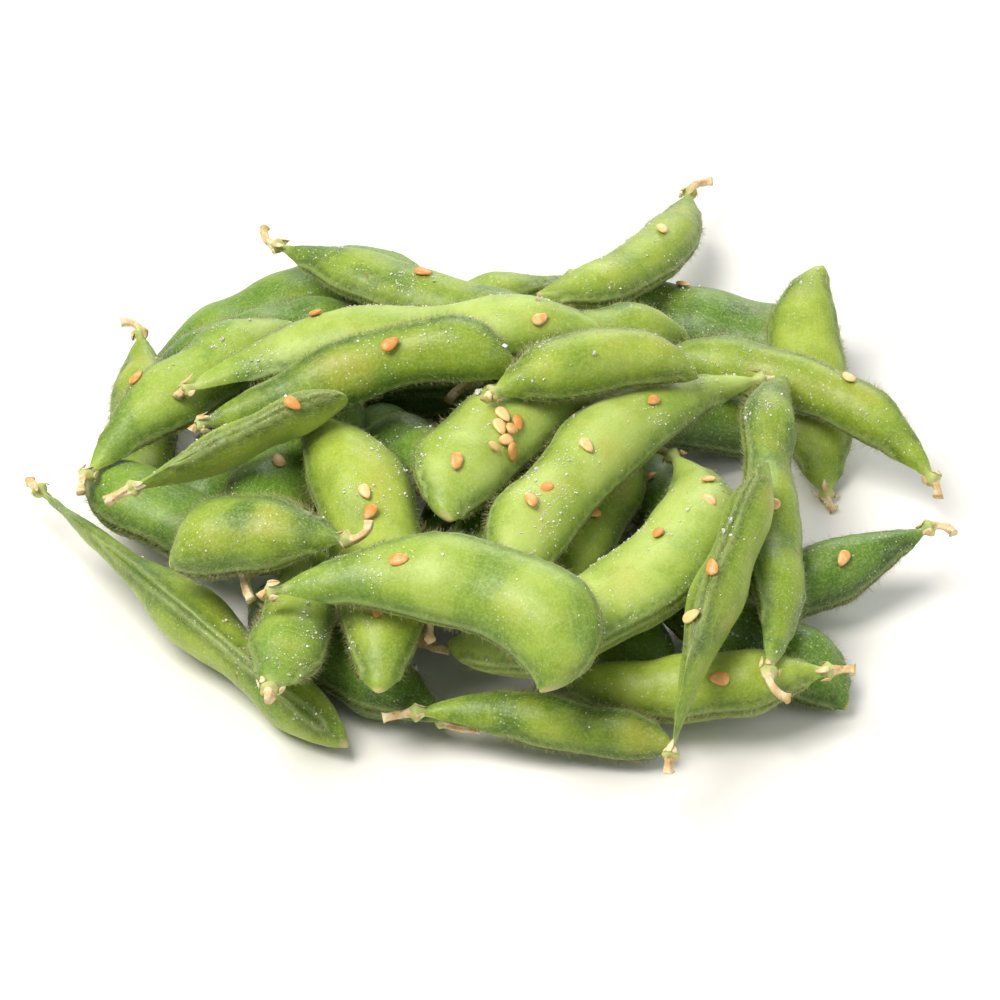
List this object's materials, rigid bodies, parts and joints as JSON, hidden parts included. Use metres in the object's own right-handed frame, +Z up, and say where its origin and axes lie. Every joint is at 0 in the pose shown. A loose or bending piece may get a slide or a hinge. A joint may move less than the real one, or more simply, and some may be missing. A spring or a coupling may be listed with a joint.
{
  "type": "edamame pod bundle",
  "caption": "Loose heap of cooked green edamame pods with stalks, strewn with toasted sesame seeds, lying on a flat surface.",
  "frame": {"origin": "middle of the heap's box, on the surface it lies on", "axes": "+Z up, +Y towards the back of the heap, +X to the right seen from the front"},
  "size_m": [0.1514, 0.161, 0.037],
  "materials": {
    "deep": "cooked pod skin in shade green, satin, finely downy",
    "leaf": "cooked pod skin, mid green, satin, finely downy",
    "light": "cooked pod skin, light green, satin, finely downy",
    "sesame": "toasted sesame seed, satin"
  },
  "bodies": {
    "root": {"pod_01": "deep", "pod_02": "deep", "pod_03": "deep", "pod_04": "leaf", "pod_05": "deep", "pod_06": "deep", "pod_07": "deep", "pod_08": "deep", "pod_09": "deep", "pod_10": "deep", "pod_11": "deep", "pod_12": "deep", "pod_13": "deep", "pod_14": "leaf", "pod_15": "deep", "pod_16": "deep", "pod_17": "leaf", "pod_18": "deep", "pod_19": "leaf", "pod_20": "deep", "pod_21": "deep", "pod_22": "deep", "pod_23": "light", "pod_24": "deep", "pod_25": "leaf", "pod_26": "leaf", "pod_27": "light", "pod_28": "leaf", "pod_29": "leaf", "pod_30": "leaf", "pod_31": "light", "pod_32": "leaf", "pod_33": "leaf", "pod_34": "leaf", "pod_35": "leaf", "pod_36": "leaf", "pod_37": "light", "pod_38": "leaf", "pod_39": "leaf", "pod_40": "light", "pod_41": "leaf", "pod_42": "light", "pod_43": "leaf", "pod_44": "light", "sesame_01": "sesame", "sesame_02": "sesame", "sesame_03": "sesame", "sesame_04": "sesame", "sesame_05": "sesame", "sesame_06": "sesame", "sesame_07": "sesame", "sesame_08": "sesame", "sesame_09": "sesame", "sesame_10": "sesame", "sesame_11": "sesame", "sesame_12": "sesame", "sesame_13": "sesame", "sesame_14": "sesame", "sesame_15": "sesame", "sesame_16": "sesame"}
  },
  "joints": []
}
